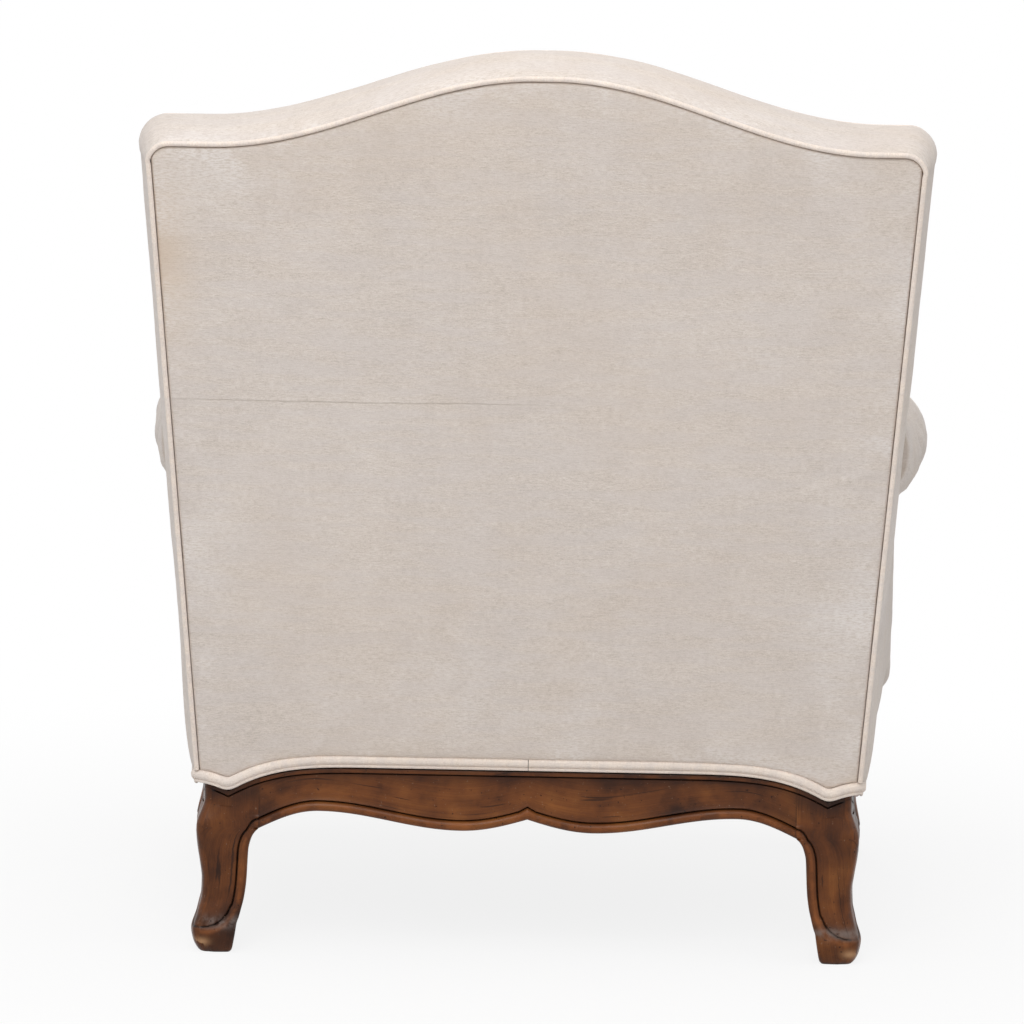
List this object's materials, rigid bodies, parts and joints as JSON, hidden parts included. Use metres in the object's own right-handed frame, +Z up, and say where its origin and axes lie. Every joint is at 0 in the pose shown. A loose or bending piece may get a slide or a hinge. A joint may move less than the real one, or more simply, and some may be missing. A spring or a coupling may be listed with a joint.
{
  "type": "bergere armchair",
  "caption": "Upholstered bergere armchair with a raked camel-crest back, rolled arms, a loose seat cushion and carved walnut rails on scroll-foot cabriole legs.",
  "frame": {"origin": "on the floor, at the centre of the chair's outline seen from above", "axes": "+Z up, -Y the way the chair faces, +X towards the sitter's left"},
  "size_m": [0.9344, 0.8344, 0.9632],
  "materials": {
    "walnut": "antiqued satin walnut stain with dark grooves",
    "hardwood": "raw sawn hardwood",
    "velvet": "cream chenille velvet with a crushed nap",
    "velvet_welt": "cream velvet over a welt cord",
    "jute_webbing": "woven jute",
    "burlap": "coarse open weave",
    "cotton_filling": "felted cotton over foam",
    "platform_cloth": "plain matte cotton",
    "cambric": "thin black non-woven cloth",
    "zip_tape": "woven tape",
    "spring_steel": "bright drawn wire"
  },
  "bodies": {
    "chair": {"front_seat_rail": "walnut", "front_left_leg": "walnut", "front_left_corner_block": "hardwood", "front_right_leg": "walnut", "front_right_corner_block": "hardwood", "rear_seat_rail": "walnut", "rear_left_leg": "walnut", "rear_left_corner_block": "hardwood", "rear_right_leg": "walnut", "rear_right_corner_block": "hardwood", "left_seat_rail": "walnut", "left_back_post": "hardwood", "left_arm_rail": "hardwood", "left_arm_post": "hardwood", "left_arm_tack_rail": "hardwood", "left_arm_pad": "velvet", "left_outside_arm": "velvet", "left_arm_facing": "velvet", "left_arm_facing_welt": "velvet_welt", "right_seat_rail": "walnut", "right_back_post": "hardwood", "right_arm_rail": "hardwood", "right_arm_post": "hardwood", "right_arm_tack_rail": "hardwood", "right_arm_pad": "velvet", "right_outside_arm": "velvet", "right_arm_facing": "velvet", "right_arm_facing_welt": "velvet_welt", "crest_rail": "hardwood", "lower_back_rail": "hardwood", "seat_webbing": "jute_webbing", "back_webbing": "jute_webbing", "seat_spring_1": "spring_steel", "seat_spring_2": "spring_steel", "seat_spring_3": "spring_steel", "seat_spring_4": "spring_steel", "seat_spring_5": "spring_steel", "seat_spring_6": "spring_steel", "seat_spring_7": "spring_steel", "seat_spring_8": "spring_steel", "seat_spring_9": "spring_steel", "seat_burlap": "burlap", "back_burlap": "burlap", "seat_deck_pad": "cotton_filling", "back_padding": "cotton_filling", "seat_deck_cloth": "platform_cloth", "seat_front_border": "velvet", "inside_back_cover": "velvet", "back_border": "velvet", "outside_back_panel": "velvet", "back_rear_welt": "velvet_welt", "back_front_welt": "velvet_welt", "bottom_double_welt": "velvet_welt", "dust_cover": "cambric"},
    "seat_cushion": {"seat_cushion_cover": "velvet", "seat_cushion_core": "cotton_filling", "seat_cushion_zip": "zip_tape", "seat_cushion_top_welt": "velvet_welt", "seat_cushion_bottom_welt": "velvet_welt"}
  },
  "joints": [
    {"name": "seat_cushion_lift", "type": "slide", "parent": "chair", "child": "seat_cushion", "axis": [0, 0, 1], "range_m": [0, 0.3]}
  ]
}
